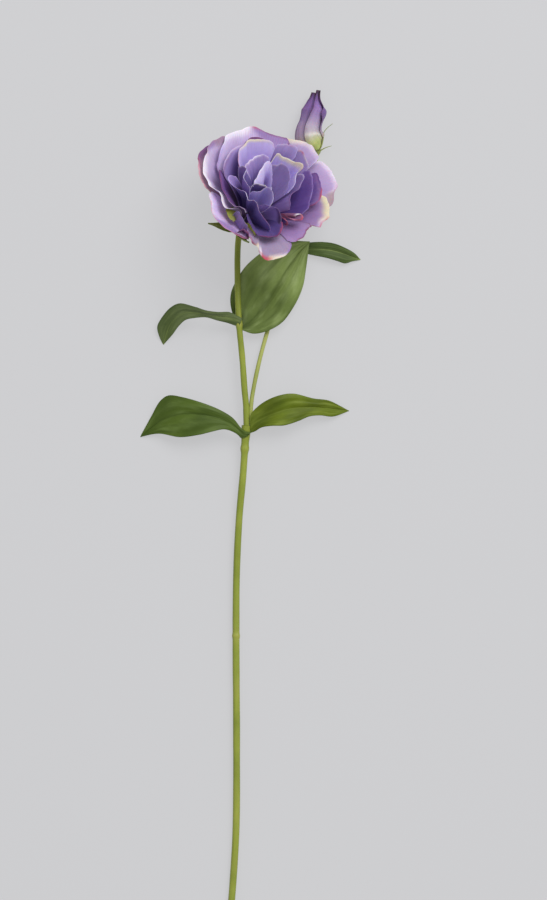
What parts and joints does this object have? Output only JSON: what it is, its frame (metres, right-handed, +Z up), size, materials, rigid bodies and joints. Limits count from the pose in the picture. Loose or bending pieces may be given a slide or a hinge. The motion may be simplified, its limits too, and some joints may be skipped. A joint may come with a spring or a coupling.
{
  "type": "lisianthus flower",
  "caption": "Cut lisianthus lying down: a forked stem with a double ruffled bloom, a wrapped bud and opposite waxy leaves.",
  "frame": {"origin": "middle of the flower's plan, on the surface that it lies on", "axes": "+Y from the cut end of the stem towards the bloom, +Z up from the surface, +X to the bud's side"},
  "size_m": [0.1205, 0.4522, 0.0602],
  "materials": {
    "stem_green": "smooth waxy green stem with faint length-ways ridges",
    "young_stem_green": "smooth light yellow-green young stalk",
    "leaf_green": "satin waxy leaf with lighter midrib and arching veins",
    "calyx_green": "smooth yellow-green sepals",
    "petal_outer": "pale lilac satin petal with fine length-ways veins and a cream margin",
    "petal_middle": "lilac violet satin petal with fine veins",
    "petal_heart": "deep violet satin petal with fine veins",
    "bud_petal": "muted mauve bud petal shading to green at its base and purple at its tip"
  },
  "bodies": {
    "root": {"bud_calyx": "calyx_green", "bud_petal_1": "bud_petal", "bud_petal_2": "bud_petal", "bud_petal_3": "bud_petal", "bud_petal_4": "bud_petal", "bud_petal_5": "bud_petal", "bud_stalk": "young_stem_green", "calyx": "calyx_green", "flower_stalk": "stem_green", "leaf_bud_right": "leaf_green", "leaf_lower_left": "leaf_green", "leaf_lower_right": "leaf_green", "leaf_upper_left": "leaf_green", "leaf_upper_right": "leaf_green", "main_stem": "stem_green", "petal_back_left": "petal_middle", "petal_back_right": "petal_middle", "petal_bottom": "petal_outer", "petal_centre": "petal_heart", "petal_centre_front": "petal_heart", "petal_centre_right": "petal_heart", "petal_core_front": "petal_heart", "petal_core_left": "petal_heart", "petal_core_right": "petal_heart", "petal_heart_back": "petal_heart", "petal_heart_front": "petal_heart", "petal_heart_right": "petal_heart", "petal_inner_bottom": "petal_middle", "petal_inner_left": "petal_middle", "petal_inner_lower_right": "petal_middle", "petal_inner_right": "petal_middle", "petal_left": "petal_outer", "petal_lower_left": "petal_outer", "petal_outer_left": "petal_outer", "petal_outer_lower_left": "petal_outer", "petal_outer_lower_right": "petal_outer", "petal_outer_right": "petal_outer", "petal_right": "petal_middle", "petal_right_lower": "petal_outer", "petal_top": "petal_outer", "petal_upper_right": "petal_outer", "receptacle": "calyx_green"}
  },
  "joints": []
}
